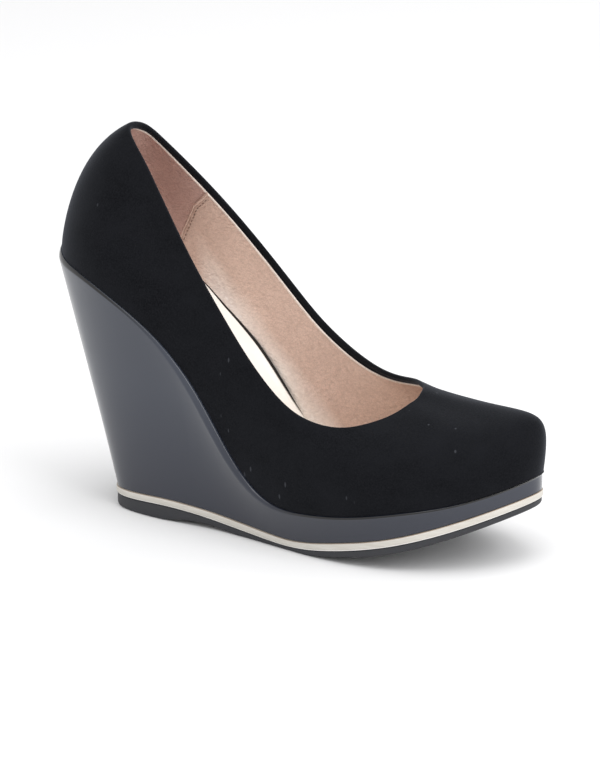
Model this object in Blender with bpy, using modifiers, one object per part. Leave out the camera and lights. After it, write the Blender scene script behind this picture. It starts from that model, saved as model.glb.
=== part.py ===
"""A closed pump for the right foot on a covered wedge heel, EU size 38.

Five solids: outsole, stripe, wedge, insole and upper. The pattern tables are in millimetres. In them
x runs from the back of the upper's lower edge to the toe, lateral is the outer side of the foot at -Y,
medial the inner side at +Y, and heights are above the floor. The finished sizes scale the tables.
An empty carries the five solids and puts the origin under the middle of the shoe, on the floor.
"""
import bpy
import numpy as np

# Finished sizes of the shoe, in metres
LENGTH = 0.227
BALL_WIDTH = 0.078
HEEL_HEIGHT = 0.1122
COUNTER_HEIGHT = 0.1686
INSTEP_HEIGHT = 0.0684

# The same sizes of the pattern that the tables describe, in millimetres
PATTERN_LENGTH = 227.0
PATTERN_BALL_WIDTH = 78.0
PATTERN_HEEL_HEIGHT = 112.2
PATTERN_COUNTER_HEIGHT = 168.6
PATTERN_INSTEP_HEIGHT = 68.4

# Suede and lining together, in metres
WALL = 0.002
INSOLE_THICKNESS = 0.002
# Room between the insole's edge and the lining
INSOLE_ROOM = 0.0004
# Clearance that touching pieces keep
GAP = 0.0003

# Points along each side of the shoe, rows of faces up the upper, and faces across the sole
SIDE_POINTS = 36
UPPER_ROWS = 12
ACROSS = 4
# How much the points crowd at heel and toe: 0 is evenly, 1 is fully
CROWDING = 0.4

# Lower edge of the upper: where it meets the wedge, from the back of the heel to the toe tip
FEATHER = (
    ("x", "lateral", "medial", "height"),
    (-0.5, 0, 0, 112.2),
    (3.6, 13.0, 13.0, 110.2),
    (16, 23.5, 23.0, 106.8),
    (36, 30.0, 29.0, 99.4),
    (58, 30.8, 28.5, 86.1),
    (80, 30.0, 27.0, 63.1),
    (98, 31.0, 27.5, 37.0),
    (116, 34.0, 30.5, 21.5),
    (136, 38.0, 35.0, 19.4),
    (158, 40.0, 38.0, 22.1),
    (182, 37.0, 37.0, 26.8),
    (204, 26.0, 30.5, 31.2),
    (220, 11.0, 19.0, 36.3),
    (227, -4.0, 4.0, 39.2),
)

# Edge of the opening, a row for each row of the feather line, from the counter to the throat
TOPLINE = (
    ("lateral_x", "lateral", "lateral_height", "medial_x", "medial", "medial_height"),
    (33, 0, 168.6, 33, 0, 168.6),
    (34.8, 7.3, 167.3, 34.4, 7.5, 166.3),
    (43.4, 12.8, 159.1, 40.8, 12.0, 159.5),
    (55.8, 18.5, 144.4, 56, 17.4, 144.0),
    (73.5, 24.8, 121.5, 74, 24.0, 123.1),
    (94.5, 29.8, 95.8, 95, 28.4, 98.5),
    (111.5, 32.3, 76.5, 112, 30.3, 80.7),
    (127.7, 33.2, 63.0, 127, 30.9, 70.1),
    (142, 32.2, 58.3, 140, 27.5, 66.1),
    (155, 28.3, 58.4, 151, 23.5, 65.8),
    (167, 18.5, 62.2, 160.5, 17.5, 67.6),
    (171.8, 10.8, 65.7, 167.0, 11.0, 68.5),
    (173, 4.5, 67.1, 170.8, 5.7, 68.8),
    (172.5, -0.5, 68.4, 172.5, 0.5, 68.4),
)

# How the upper leaves each edge: it rises by wall and swells out by belly from the feather line, and
# lies drop below and reach outside of the topline, with slant as its share of the lean between them
COVER = (
    ("lateral_wall", "medial_wall", "belly", "lateral_drop", "medial_drop", "reach", "slant"),
    (16.4, 16.4, -0.7, 12.1, 12.1, 24.8, 0),
    (14.7, 14.7, -0.3, 13.3, 13.3, 18.6, 0),
    (20.4, 20.4, 2.7, 18, 18, 13.2, 0.1),
    (18, 18, 2.5, 18, 18, 5, 0.25),
    (14, 14, 2.5, 14, 14, 2.5, 0.3),
    (12, 12, 2.5, 12, 12, 2, 0.3),
    (14, 14, 3.0, 12, 12, 2.5, 0.3),
    (16, 16, 3.0, 12, 12, 4.5, 0.3),
    (18, 18, 2.5, 10, 11, 9, 0.3),
    (22, 18, 2.0, 8, 10.5, 13, 0.3),
    (24, 19, 2.0, 7, 12, 18.7, 0.2),
    (26.8, 20.8, 2.5, 6, 12, 27.8, 0),
    (31, 29, 2.7, 8.9, 11.4, 41.3, 0),
    (36, 36, 4.7, 10, 10, 51, 0),
)

# Outline of the sole layers, a row for each row of the feather line
BASE = (
    ("x", "lateral", "medial"),
    (27.2, 0, 0),
    (29.8, 12.0, 12.0),
    (36, 20.0, 19.5),
    (50, 24.8, 24.0),
    (67, 26.5, 25.0),
    (84, 27.0, 24.8),
    (101, 29.0, 26.0),
    (118, 32.5, 29.0),
    (137, 36.5, 33.5),
    (158, 38.7, 37.0),
    (182, 36.0, 36.0),
    (204, 25.2, 29.7),
    (220, 10.3, 18.3),
    (227, -4.0, 4.0),
)

# Top faces of outsole and stripe along the shoe
LAYERS = (
    ("x", "outsole_top", "stripe_top"),
    (20, 4.9, 8.2),
    (45, 6.0, 9.4),
    (62, 6.5, 9.9),
    (80, 5.2, 8.7),
    (96, 3.4, 7.0),
    (112, 2.2, 5.6),
    (130, 1.9, 5.1),
    (152, 5.0, 8.7),
    (172, 9.4, 13.0),
    (190, 14.5, 18.2),
    (208, 20.7, 24.4),
    (227, 28.1, 31.6),
)

# Underside of the outsole: heel pad, hollow shank, ball and toe spring; what dips under 0 is cut flat
UNDERSIDE = (
    ("x", "height"),
    (20, -0.4),
    (40, -0.4),
    (57, -0.4),
    (64, 0.4),
    (72, 1.6),
    (80, 1.9),
    (90, 1.0),
    (102, -0.2),
    (118, -0.7),
    (132, -0.5),
    (152, 2.2),
    (172, 6.0),
    (190, 11.3),
    (208, 17.9),
    (227, 25.5),
)

# Rim of the wedge: how far it stands out from the upper, and how far its bevel reaches down
RIM = (
    ("x", "proud", "bevel"),
    (-0.5, 1.3, 3.8),
    (16, 0.9, 2.4),
    (40, 0.8, 1.6),
    (62, 1.3, 2.0),
    (84, 2.0, 3.0),
    (104, 1.8, 2.6),
    (125, 1.0, 1.6),
    (160, 0.8, 1.4),
    (200, 0.6, 1.2),
    (215, 0.2, 1.1),
    (227, -0.6, 1.0),
)

# Steps of the sole's side, in metres: each layer's inset from the base outline, and its rounding
OUTSOLE_INSET = 0.0004
OUTSOLE_ROUND = 0.0009
STRIPE_PROUD = 0.0002
WEDGE_INSET = 0.0003
# Deepest hollow of the wedge's sides, the wall height at which it is reached, and the swell of the
# wedge's back as a share of it
WEDGE_HOLLOW = 0.0016
WEDGE_HOLLOW_HEIGHT = 0.060
WEDGE_SWELL = 0.45
# Rows of the wedge's side, as shares of its height
WEDGE_ROWS = (0.0, 0.14, 0.32, 0.55, 0.8, 1.0)
# Width of the flat strip that the rim leaves outside the upper
RIM_SHELF = 0.0003
# Shoulder of the rim's bevel: its share of the way out and of the bevel's reach down
SHOULDER_OUT = 0.75
SHOULDER_DOWN = 0.4
# Rounding of the insole's edge, as a share of its thickness
INSOLE_EDGE = 0.3

# Colour, roughness and metallic value of each material
MATERIALS = {
    "suede": ((0.012, 0.012, 0.014, 1.0), 0.95, 0.0),
    "patent": ((0.025, 0.027, 0.033, 1.0), 0.12, 0.0),
    "cream": ((0.62, 0.56, 0.44, 1.0), 0.5, 0.0),
    "rubber": ((0.030, 0.030, 0.033, 1.0), 0.7, 0.0),
    "sock": ((0.85, 0.80, 0.72, 1.0), 0.45, 0.0),
}
SHARP_ANGLE = np.radians(35.0)
UP = np.array([0.0, 0.0, 1.0])
# Step along a curve for its slope, in metres
PROBE = 0.00005


def graded(table):
    """Columns of a pattern table in metres, scaled from the pattern to the finished sizes."""
    length = LENGTH / PATTERN_LENGTH
    width = BALL_WIDTH / PATTERN_BALL_WIDTH
    height = HEEL_HEIGHT / PATTERN_HEEL_HEIGHT
    scale = {"slant": 1.0}
    scale.update(dict.fromkeys(("x", "lateral_x", "medial_x", "reach"), length))
    scale.update(dict.fromkeys(("lateral", "medial", "belly"), width))
    names, rows = table[0], table[1:]
    return {name: np.array([row[i] for row in rows]) * scale.get(name, height) for i, name in enumerate(names)}


def spline(knots, values, closed):
    """Cubic spline through values at knots: natural at its ends, or closed where the last knot is the first."""
    knots = np.asarray(knots, float)
    values = np.asarray(values, float)
    steps = np.diff(knots)
    count = len(values)
    system = np.eye(count)
    bends = np.zeros_like(values)
    for i in range(count) if closed else range(1, count - 1):
        before, after = steps[i - 1], steps[i]
        left, right = (i - 1) % count, (i + 1) % count
        system[i, i] = 2.0 * (before + after)
        system[i, left] += before
        system[i, right] += after
        rise_after = (values[right] - values[i]) / after
        rise_before = (values[i] - values[left]) / before
        bends[i] = 6.0 * (rise_after - rise_before)
    bends = np.linalg.solve(system, bends)

    def at(where):
        where = np.asarray(where, float)
        where = np.mod(where, knots[-1]) if closed else np.clip(where, knots[0], knots[-1])
        low = np.clip(np.searchsorted(knots, where, side="right") - 1, 0, len(steps) - 1)
        high = (low + 1) % count
        step = steps[low]
        ahead = (where - knots[low]) / step
        if values.ndim > 1:
            step, ahead = step[..., None], ahead[..., None]
        behind = 1.0 - ahead
        curve = (behind ** 3 - behind) * bends[low] + (ahead ** 3 - ahead) * bends[high]
        return behind * values[low] + ahead * values[high] + step ** 2 / 6.0 * curve

    return at


def height_curve(table, name):
    """Height along the shoe, read from one column of a table."""
    columns = graded(table)
    return spline(columns["x"], columns[name], closed=False)


bed = height_curve(FEATHER, "height")
outsole_top = height_curve(LAYERS, "outsole_top")
stripe_top = height_curve(LAYERS, "stripe_top")
underside_curve = height_curve(UNDERSIDE, "height")
rim_proud = height_curve(RIM, "proud")
rim_bevel = height_curve(RIM, "bevel")


def underside(x):
    """Underside of the outsole, cut flat on the floor."""
    return np.maximum(underside_curve(x), 0.0)


def bed_at(x, clearance):
    """Height at a distance clearance over the bed, measured square to its slope."""
    slope = (bed(x + PROBE) - bed(x - PROBE)) / (2.0 * PROBE)
    return bed(x) + clearance * np.sqrt(1.0 + slope ** 2)


def side_knots():
    """Distance along the feather line at each of its rows, the mean of both sides."""
    rows = graded(FEATHER)
    lateral = np.stack([rows["x"], -rows["lateral"], rows["height"]], axis=1)
    medial = np.stack([rows["x"], rows["medial"], rows["height"]], axis=1)
    steps = [np.linalg.norm(np.diff(side, axis=0), axis=1) for side in (lateral, medial)]
    return np.concatenate([[0.0], np.cumsum(np.mean(steps, axis=0))])


SIDE = side_knots()
HALF = SIDE[-1]
KNOTS = np.concatenate([SIDE, 2.0 * HALF - SIDE[-2::-1]])


def loop(lateral, medial):
    """Closed curve through the lateral rows from heel to toe, and back through the medial rows."""
    lateral = np.stack(lateral, axis=1)
    medial = np.stack(medial, axis=1)
    return spline(KNOTS, np.vstack([lateral, medial[-2:0:-1]]), closed=True)


def outline_of(table):
    """Closed plan outline of a table with lateral and medial half widths."""
    rows = graded(table)
    return loop((rows["x"], -rows["lateral"]), (rows["x"], rows["medial"]))


def topline_loop():
    """Closed curve along the edge of the opening, graded from the counter's height to the instep's."""
    rows = graded(TOPLINE)
    heel = HEEL_HEIGHT / PATTERN_HEEL_HEIGHT
    back = COUNTER_HEIGHT / PATTERN_COUNTER_HEIGHT / heel
    front = INSTEP_HEIGHT / PATTERN_INSTEP_HEIGHT / heel
    grade = np.linspace(back, front, len(rows["lateral"]))
    lateral = (rows["lateral_x"], -rows["lateral"], rows["lateral_height"] * grade)
    return loop(lateral, (rows["medial_x"], rows["medial"], rows["medial_height"] * grade))


def cover_loop():
    """Closed curve of the upper's wall, belly, drop, reach and slant."""
    rows = graded(COVER)
    shared = (rows["belly"], rows["reach"], rows["slant"])
    lateral = (rows["lateral_wall"], rows["lateral_drop"]) + shared
    return loop(lateral, (rows["medial_wall"], rows["medial_drop"]) + shared)


feather_plan = outline_of(FEATHER)
base_plan = outline_of(BASE)
topline = topline_loop()
cover = cover_loop()


def feather(t):
    """Lower edge of the upper's outer face."""
    plan = feather_plan(t)
    return np.column_stack([plan, bed(plan[:, 0])])


def outward(curve, t):
    """Level unit vector that points out of a closed curve."""
    along = (curve(t + PROBE) - curve(t - PROBE))[:, :2]
    along /= np.linalg.norm(along, axis=1)[:, None]
    return np.column_stack([along[:, 1], -along[:, 0], np.zeros(len(t))])


def stations(count):
    """Places around the shoe, count along each side, closer together at heel and toe."""
    share = np.linspace(0.0, 1.0, count + 1)
    share = (1.0 - CROWDING) * share + CROWDING * (0.5 - 0.5 * np.cos(np.pi * share))
    return np.concatenate([share * HALF, 2.0 * HALF - share[-2:0:-1] * HALF])


def upper_face(t, s):
    """Outer face of the upper: a row of points around the shoe for each share s from feather to topline."""
    foot, edge = feather(t), topline(t)
    wall, drop, belly, reach, slant = [column[:, None] for column in cover(t).T]
    lean = np.zeros_like(foot)
    lean[:, 0] = (edge - foot)[:, 0]
    low = foot + UP * wall + outward(feather_plan, t) * belly + lean * slant
    high = edge - UP * drop + outward(topline, t) * reach - lean * slant
    s = np.asarray(s)[:, None, None]
    return (1 - s) ** 3 * foot + 3 * s * (1 - s) ** 2 * low + 3 * s ** 2 * (1 - s) * high + s ** 3 * edge


def base_ring(t, inset, height, lift=0.0):
    """Ring of points inset from the base outline, at a height curve plus a lift."""
    plan = base_plan(t) - outward(base_plan, t)[:, :2] * inset
    return np.column_stack([plan, height(plan[:, 0]) + lift])


def feather_ring(t, inset, clearance):
    """Ring of points inset from the feather line, at a clearance over the bed."""
    plan = feather_plan(t) - outward(feather_plan, t)[:, :2] * inset
    return np.column_stack([plan, bed_at(plan[:, 0], clearance)])


def wedge_rings(t, rows):
    """Rings of the wedge's side from its foot to its rim, then over the bevel to the upper."""
    foot = base_ring(t, WEDGE_INSET, wedge_floor)
    along = feather_plan(t)[:, 0]
    proud, bevel = rim_proud(along), rim_bevel(along)
    rim = feather_ring(t, -proud[:, None], -bevel)
    out = outward(feather_plan, t)
    tall = np.linalg.norm(rim - foot, axis=1)[:, None]
    hollow = WEDGE_HOLLOW * np.minimum(1.0, tall / WEDGE_HOLLOW_HEIGHT)
    hollow = hollow * (out[:, 1:2] ** 2 - WEDGE_SWELL * out[:, 0:1] ** 2)
    rings = [foot * (1 - s) + rim * s - out * hollow * 4 * s * (1 - s) for s in rows]
    shoulder = RIM_SHELF + SHOULDER_OUT * (proud - RIM_SHELF)
    rings.append(feather_ring(t, -shoulder[:, None], -SHOULDER_DOWN * bevel))
    rings.append(feather_ring(t, -RIM_SHELF, -GAP))
    return rings


def cap(verts, faces, ring, height, upward):
    """Close a ring with rows of faces that run across the shoe at a height curve."""
    half = len(ring) // 2
    rows = [[ring[0]]]
    for i in range(1, half):
        start, end = ring[i], ring[-i]
        row = [start]
        for share in np.linspace(0.0, 1.0, ACROSS + 1)[1:-1]:
            x, y = (1 - share) * verts[start][:2] + share * verts[end][:2]
            row.append(len(verts))
            verts.append(np.array([x, y, height(x)]))
        rows.append(row + [end])
    rows.append([ring[half]])
    for near, far in zip(rows[:-1], rows[1:]):
        for k in range(ACROSS):
            near_pair = near[min(k, len(near) - 1)], near[min(k + 1, len(near) - 1)]
            far_pair = far[min(k, len(far) - 1)], far[min(k + 1, len(far) - 1)]
            face = list(dict.fromkeys([near_pair[0], far_pair[0], far_pair[1], near_pair[1]]))
            faces.append(face if upward else face[::-1])


def ring_faces(rows, count):
    """Faces between stacked rings of count points each."""
    faces = []
    for k in range(rows - 1):
        for i in range(count):
            j = (i + 1) % count
            faces.append([k * count + i, k * count + j, (k + 1) * count + j, (k + 1) * count + i])
    return faces


def material(name):
    """Principled material with the values listed for it."""
    colour, roughness, metallic = MATERIALS[name]
    made = bpy.data.materials.new(name)
    made.use_nodes = True
    shader = made.node_tree.nodes["Principled BSDF"]
    shader.inputs["Base Color"].default_value = colour
    shader.inputs["Roughness"].default_value = roughness
    shader.inputs["Metallic"].default_value = metallic
    return made


def add_object(name, verts, faces, finish, collection):
    """Smooth-shaded object from a list of points and faces."""
    mesh = bpy.data.meshes.new(name)
    mesh.from_pydata([tuple(point) for point in verts], [], faces)
    mesh.materials.append(material(finish))
    mesh.shade_smooth()
    mesh.set_sharp_from_angle(angle=SHARP_ANGLE)
    made = bpy.data.objects.new(name, mesh)
    collection.objects.link(made)
    return made


def block(name, rings, floor, roof, finish, collection):
    """Solid through stacked rings, closed below and above at two height curves."""
    count = len(rings[0])
    verts = list(np.vstack(rings))
    faces = ring_faces(len(rings), count)
    last = count * (len(rings) - 1)
    cap(verts, faces, list(range(count)), floor, upward=False)
    cap(verts, faces, list(range(last, last + count)), roof, upward=True)
    return add_object(name, verts, faces, finish, collection)


def make_outsole(t, collection):
    """Rubber outsole with a rounded lower edge."""
    rings = [
        base_ring(t, OUTSOLE_INSET + OUTSOLE_ROUND, underside),
        base_ring(t, OUTSOLE_INSET, underside, OUTSOLE_ROUND),
        base_ring(t, OUTSOLE_INSET, outsole_top),
    ]
    return block("outsole", rings, underside, outsole_top, "rubber", collection)


def stripe_floor(x):
    """Lower face of the stripe, just over the outsole."""
    return outsole_top(x) + GAP


def stripe_middle(x):
    """Height halfway up the stripe."""
    return (stripe_floor(x) + stripe_top(x)) / 2.0


def make_stripe(t, collection):
    """Cream layer between outsole and wedge, slightly proud with a round edge."""
    rings = [
        base_ring(t, STRIPE_PROUD, stripe_floor),
        base_ring(t, -STRIPE_PROUD, stripe_middle),
        base_ring(t, STRIPE_PROUD, stripe_top),
    ]
    return block("stripe", rings, stripe_floor, stripe_top, "cream", collection)


def wedge_floor(x):
    """Lower face of the wedge, just over the stripe."""
    return stripe_top(x) + GAP


def wedge_roof(x):
    """Upper face of the wedge, just under the upper's edge and the insole."""
    return bed_at(x, -GAP)


def make_wedge(t, collection):
    """Covered wedge and platform in one block, with a proud bevelled rim."""
    rings = wedge_rings(t, WEDGE_ROWS)
    return block("wedge", rings, wedge_floor, wedge_roof, "patent", collection)


def insole_roof(x):
    """Upper face of the insole."""
    return bed_at(x, INSOLE_THICKNESS)


def make_insole(t, collection):
    """Sock board that lies on the wedge inside the upper."""
    inset = WALL + INSOLE_ROOM
    edge = INSOLE_EDGE * INSOLE_THICKNESS
    rings = [
        feather_ring(t, inset, 0.0),
        feather_ring(t, inset, INSOLE_THICKNESS - edge),
        feather_ring(t, inset + edge, INSOLE_THICKNESS),
    ]
    return block("insole", rings, bed, insole_roof, "sock", collection)


def make_upper(t, collection):
    """Hollow upper: its outer face, thickened inwards, open at the collar and underneath."""
    grid = upper_face(t, np.linspace(0.0, 1.0, UPPER_ROWS + 1))
    faces = ring_faces(len(grid), len(t))
    upper = add_object("upper", grid.reshape(-1, 3), faces, "suede", collection)
    shell = upper.modifiers.new("wall", "SOLIDIFY")
    shell.thickness = WALL
    shell.offset = -1.0
    shell.use_even_offset = True
    shell.use_quality_normals = True
    return upper


def centre_of(objects):
    """Middle of the bounding box of some objects, in plan."""
    corners = np.array([point.co for made in objects for point in made.data.vertices])
    return (corners.min(axis=0) + corners.max(axis=0)) / 2.0


def main():
    for old in list(bpy.data.objects):
        bpy.data.objects.remove(old, do_unlink=True)
    collection = bpy.data.collections.new("wedge_pump")
    bpy.context.scene.collection.children.link(collection)
    t = stations(SIDE_POINTS)
    makers = (make_outsole, make_stripe, make_wedge, make_insole, make_upper)
    pieces = [maker(t, collection) for maker in makers]
    centre = centre_of(pieces)
    carrier = bpy.data.objects.new("shoe", None)
    carrier.location = (-centre[0], -centre[1], 0.0)
    collection.objects.link(carrier)
    for piece in pieces:
        piece.parent = carrier


main()
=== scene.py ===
"""Looks of the wedge pump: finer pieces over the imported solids, with materials, light and camera."""

import bmesh
import bpy
import numpy as np
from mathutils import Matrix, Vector


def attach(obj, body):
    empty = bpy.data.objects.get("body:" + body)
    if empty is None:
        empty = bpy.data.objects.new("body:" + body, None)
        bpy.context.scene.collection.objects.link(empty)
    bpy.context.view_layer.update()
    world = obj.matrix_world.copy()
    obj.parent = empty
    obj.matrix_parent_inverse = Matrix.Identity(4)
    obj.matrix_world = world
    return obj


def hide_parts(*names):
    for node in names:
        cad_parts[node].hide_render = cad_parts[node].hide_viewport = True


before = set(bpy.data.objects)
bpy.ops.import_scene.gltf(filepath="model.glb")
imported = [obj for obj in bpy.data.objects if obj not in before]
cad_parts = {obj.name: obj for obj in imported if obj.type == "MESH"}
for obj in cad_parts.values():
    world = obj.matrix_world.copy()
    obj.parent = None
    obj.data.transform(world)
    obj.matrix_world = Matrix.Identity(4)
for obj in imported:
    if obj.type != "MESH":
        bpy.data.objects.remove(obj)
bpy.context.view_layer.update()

MM = 0.001
# Place of the frame's origin in the pattern, in metres
ORIGIN = np.array([0.113129, -0.000858, 0.0])
UP = np.array([0.0, 0.0, 1.0])
# Step along a curve for its slope, in metres
PROBE = 0.00005

# The pattern tables of the shoe, in millimetres, as the solids use them
FEATHER = (
    ("x", "lateral", "medial", "height"),
    (-0.5, 0, 0, 112.2),
    (3.6, 13.0, 13.0, 110.2),
    (16, 23.5, 23.0, 106.8),
    (36, 30.0, 29.0, 99.4),
    (58, 30.8, 28.5, 86.1),
    (80, 30.0, 27.0, 63.1),
    (98, 31.0, 27.5, 37.0),
    (116, 34.0, 30.5, 21.5),
    (136, 38.0, 35.0, 19.4),
    (158, 40.0, 38.0, 22.1),
    (182, 37.0, 37.0, 26.8),
    (204, 26.0, 30.5, 31.2),
    (220, 11.0, 19.0, 36.3),
    (227, -4.0, 4.0, 39.2),
)
TOPLINE = (
    ("lateral_x", "lateral", "lateral_height", "medial_x", "medial", "medial_height"),
    (33, 0, 168.6, 33, 0, 168.6),
    (34.8, 7.3, 167.3, 34.4, 7.5, 166.3),
    (43.4, 12.8, 159.1, 40.8, 12.0, 159.5),
    (55.8, 18.5, 144.4, 56, 17.4, 144.0),
    (73.5, 24.8, 121.5, 74, 24.0, 123.1),
    (94.5, 29.8, 95.8, 95, 28.4, 98.5),
    (111.5, 32.3, 76.5, 112, 30.3, 80.7),
    (127.7, 33.2, 63.0, 127, 30.9, 70.1),
    (142, 32.2, 58.3, 140, 27.5, 66.1),
    (155, 28.3, 58.4, 151, 23.5, 65.8),
    (167, 18.5, 62.2, 160.5, 17.5, 67.6),
    (171.8, 10.8, 65.7, 167.0, 11.0, 68.5),
    (173, 4.5, 67.1, 170.8, 5.7, 68.8),
    (172.5, -0.5, 68.4, 172.5, 0.5, 68.4),
)
COVER = (
    ("lateral_wall", "medial_wall", "belly", "lateral_drop", "medial_drop", "reach", "slant"),
    (16.4, 16.4, -0.7, 12.1, 12.1, 24.8, 0),
    (14.7, 14.7, -0.3, 13.3, 13.3, 18.6, 0),
    (20.4, 20.4, 2.7, 18, 18, 13.2, 0.1),
    (18, 18, 2.5, 18, 18, 5, 0.25),
    (14, 14, 2.5, 14, 14, 2.5, 0.3),
    (12, 12, 2.5, 12, 12, 2, 0.3),
    (14, 14, 3.0, 12, 12, 2.5, 0.3),
    (16, 16, 3.0, 12, 12, 4.5, 0.3),
    (18, 18, 2.5, 10, 11, 9, 0.3),
    (22, 18, 2.0, 8, 10.5, 13, 0.3),
    (24, 19, 2.0, 7, 12, 18.7, 0.2),
    (26.8, 20.8, 2.5, 6, 12, 27.8, 0),
    (31, 29, 2.7, 8.9, 11.4, 41.3, 0),
    (36, 36, 4.7, 10, 10, 51, 0),
)
BASE = (
    ("x", "lateral", "medial"),
    (27.2, 0, 0),
    (29.8, 12.0, 12.0),
    (36, 20.0, 19.5),
    (50, 24.8, 24.0),
    (67, 26.5, 25.0),
    (84, 27.0, 24.8),
    (101, 29.0, 26.0),
    (118, 32.5, 29.0),
    (137, 36.5, 33.5),
    (158, 38.7, 37.0),
    (182, 36.0, 36.0),
    (204, 25.2, 29.7),
    (220, 10.3, 18.3),
    (227, -4.0, 4.0),
)
LAYERS = (
    ("x", "outsole_top", "stripe_top"),
    (20, 4.9, 8.2),
    (45, 6.0, 9.4),
    (62, 6.5, 9.9),
    (80, 5.2, 8.7),
    (96, 3.4, 7.0),
    (112, 2.2, 5.6),
    (130, 1.9, 5.1),
    (152, 5.0, 8.7),
    (172, 9.4, 13.0),
    (190, 14.5, 18.2),
    (208, 20.7, 24.4),
    (227, 28.1, 31.6),
)
UNDERSIDE = (
    ("x", "height"),
    (20, -0.4),
    (40, -0.4),
    (57, -0.4),
    (64, 0.4),
    (72, 1.6),
    (80, 1.9),
    (90, 1.0),
    (102, -0.2),
    (118, -0.7),
    (132, -0.5),
    (152, 2.2),
    (172, 6.0),
    (190, 11.3),
    (208, 17.9),
    (227, 25.5),
)
RIM = (
    ("x", "proud", "bevel"),
    (-0.5, 1.3, 3.8),
    (16, 0.9, 2.4),
    (40, 0.8, 1.6),
    (62, 1.3, 2.0),
    (84, 2.0, 3.0),
    (104, 1.8, 2.6),
    (125, 1.0, 1.6),
    (160, 0.8, 1.4),
    (200, 0.6, 1.2),
    (215, 0.2, 1.1),
    (227, -0.6, 1.0),
)
# How the sock leaves the medial wall: the room beside it, how far its edge climbs the wall, and the
# width of the dark tube along it that paints the shade in the gap
SOCK_EDGE = (
    ("x", "room", "climb", "gap"),
    (0, 0.3, 0.0, 0.0),
    (40, 0.4, 0.0, 0.0),
    (50, 1.0, 0.0, 0.0),
    (54, 1.4, 0.0, 0.4),
    (58, 1.9, 0.0, 0.6),
    (64, 2.5, 0.0, 0.9),
    (69, 2.0, 0.1, 1.1),
    (74, 1.4, 0.4, 1.3),
    (80, 1.1, 1.2, 1.4),
    (88, 1.1, 2.3, 1.3),
    (94, 0.9, 2.8, 1.0),
    (99, 0.6, 2.9, 0.4),
    (102, 0.4, 2.8, 0.0),
    (110, 0.3, 2.6, 0.0),
    (126, 0.3, 1.2, 0.0),
    (145, 0.3, 0.0, 0.0),
    (227, 0.3, 0.0, 0.0),
)

# Sizes shared with the solids, in metres
WALL = 0.002
INSOLE_THICKNESS = 0.002
INSOLE_ROOM = 0.0004
GAP = 0.0003
CROWDING = 0.4
OUTSOLE_INSET = 0.0004
OUTSOLE_ROUND = 0.0012
STRIPE_PROUD = 0.0002
WEDGE_INSET = 0.0003
WEDGE_HOLLOW = 0.0016
WEDGE_HOLLOW_HEIGHT = 0.060
WEDGE_SWELL = 0.45
RIM_SHELF = 0.0003

# Points along each side of the shoe, and rows of the pieces
SIDE_POINTS = 190
UPPER_ROWS = 44
LINING_ROWS = 36
COUNTER_POINTS = 160
QUARTER_POINTS = 400
SOCK_ROWS = 22
WEDGE_ROWS = 40
RIM_ROWS = 6
SHOULDER_ROWS = 4
TREAD_ROWS = 60

# Suede and lining, in metres: the roll along the topline is thicker round the heel
SUEDE = 0.0008
ROLL = 0.0009
HEEL_ROLL = 0.0006
HEEL_ROLL_REACH = 0.020
FOLD = 0.0035
# Rows of the suede turned down inside: distance below the roll, and share of the roll's extra width
FOLD_ROWS = ((0.0008, 0.95), (0.0016, 0.7), (FOLD, 0.0), (FOLD + 0.0008, 0.0))
LINING_EDGE = 0.0004
HEM_RADIUS = 0.0006
HEM_PROUD = 0.0001

# The counter lining's front seam, in metres: its distance from the heel along the feather line at its
# foot, how far it leans to the toe on its way up, and its kick forward near the top
SEAM_FOOT = 0.0515
SEAM_LEAN = 0.0033
SEAM_KICK = 0.0027
SEAM_KICK_FROM = 0.74
SEAM_LAP = 0.0011
SEAM_LIP = 0.00035
SEAM_LIP_ROUND = 0.0004
SEAM_LIP_SINK = 0.0001
SEAM_PROUD = 0.00022
SEAM_RADIUS = 0.00045
SEAM_SWELL = 0.00035
SEAM_TIP = 0.00005
STITCH_PROUD = 0.00028
STITCH_AHEAD = 0.0017
STITCH_PITCH = 0.0023
STITCH_LENGTH = 0.0016
STITCH_RADIUS = 0.00026
STITCH_RISE = 0.00016

# The lining's filled corner at the bed on the medial side, in metres: place along the shoe, reach along
# it, height and depth
CORNER_PLACE = 0.062
CORNER_REACH = 0.012
CORNER_HEIGHT = 0.0075
CORNER_DEPTH = 0.0021

# The sock, in metres: it lies a hair over the bed, with a round edge and a soft crown
SOCK_LIFT = 0.0001
SOCK_ROUND = 0.0005
SOCK_CROWN = 0.0003
SOCK_CLIMB_SHARE = 0.9
GAP_TIP = 0.00002

# The wedge cover's edges: the turn at its rim and the tuck at its foot in metres, and the shoulder's
# place as shares of the rim's width and height
RIM_TURN = 0.0006
FOOT_TUCK = 0.0005
SHOULDER_OUT = 0.75
SHOULDER_DOWN = 0.4

# The outsole, in metres: a tuck under the stripe, and underneath a groove along the edge, and ribs on the
# heel pad and the forefoot, which leave out the arch
OUTSOLE_TUCK = 0.0003
GROOVE_PLACE = 0.0042
GROOVE_HALF = 0.0007
GROOVE_DEPTH = 0.0006
RIB_PITCH = 0.0036
RIB_DEPTH = 0.00035
RIBS_FROM_EDGE = 0.0062
ARCH_START = 0.062
ARCH_END = 0.108
RIBS_FADE = 0.004

# How far the middle line of a filled outline stays from heel and toe, and the mesh's cleaning limits
FAN_MARGIN = 0.010
MERGE = 2e-6
SHORTEST_EDGE = 1e-7


def columns(table):
    """Columns of a pattern table in metres; the slant is a share."""
    names, rows = table[0], table[1:]
    found = {}
    for i, name in enumerate(names):
        found[name] = np.array([row[i] for row in rows]) * (1.0 if name == "slant" else MM)
    return found


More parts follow.
